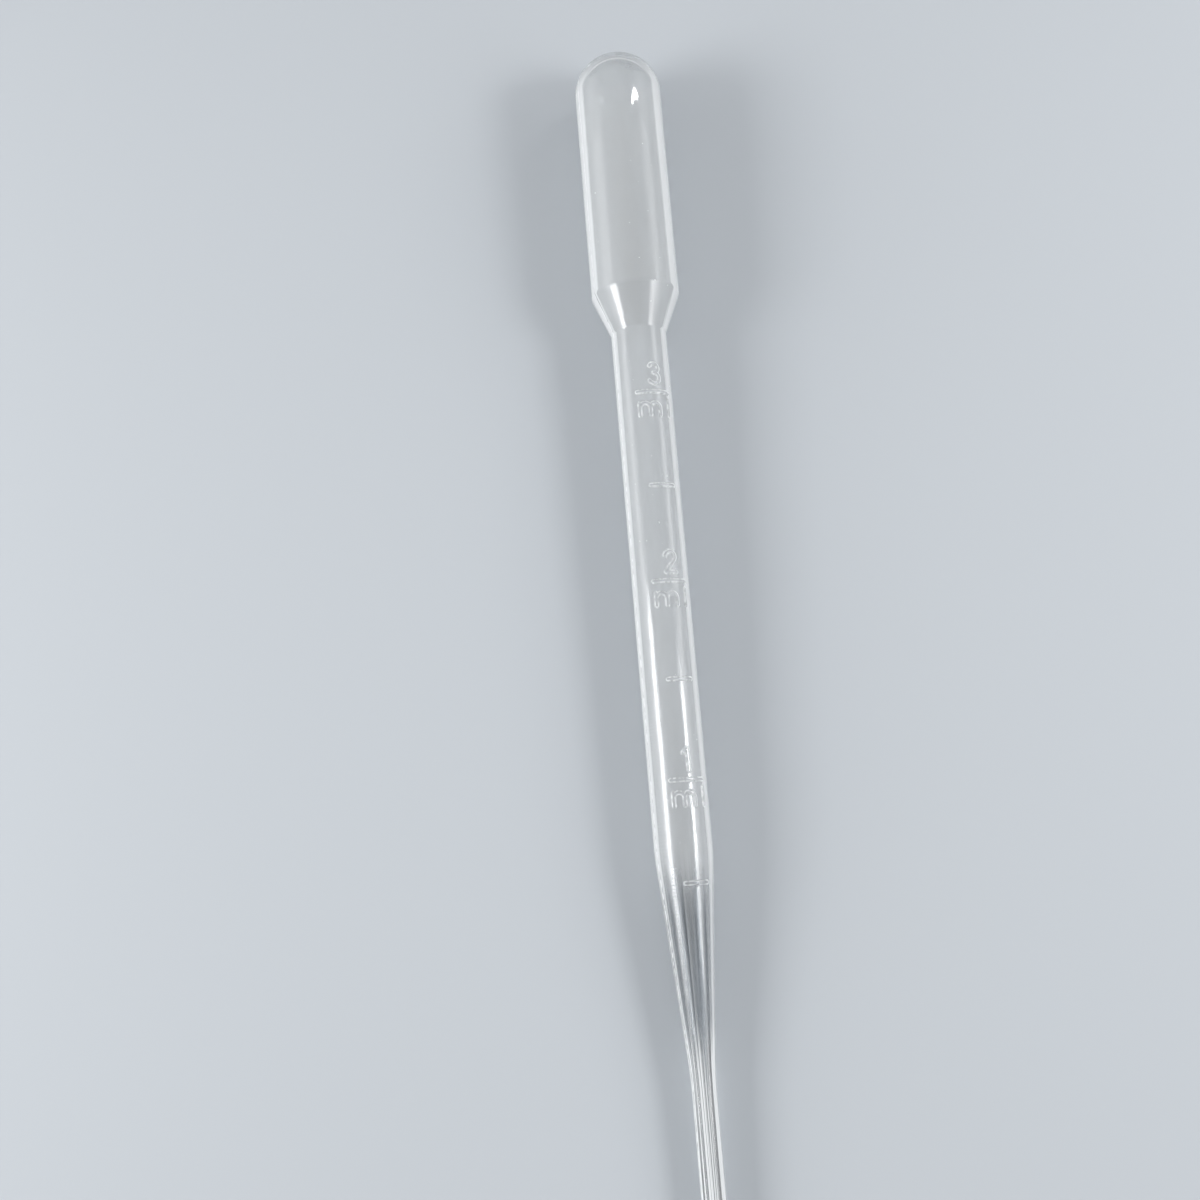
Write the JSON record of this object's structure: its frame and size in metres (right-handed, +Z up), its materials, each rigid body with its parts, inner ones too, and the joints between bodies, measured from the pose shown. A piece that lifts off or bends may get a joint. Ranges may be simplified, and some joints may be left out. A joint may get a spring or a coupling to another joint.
{
  "type": "dropper pipette",
  "caption": "One-piece squeeze-bulb dropper pipette in thin milky plastic, with a raised millilitre scale on its stem, a long taper and a fine open tip.",
  "frame": {"origin": "middle of the part's footprint, on the surface it lies on", "axes": "+X runs from the dome of the bulb towards the tip, +Z is up; the pipette lies on its side on its shoulder edge and the lower end of its stem, with its scale up, turned 21 degrees towards +Y"},
  "size_m": [0.16, 0.012, 0.0129],
  "materials": {
    "milky_plastic": "thin milky low-density polyethylene, see-through, smooth gloss"
  },
  "bodies": {
    "root": {"pipette": "milky_plastic"}
  },
  "joints": []
}
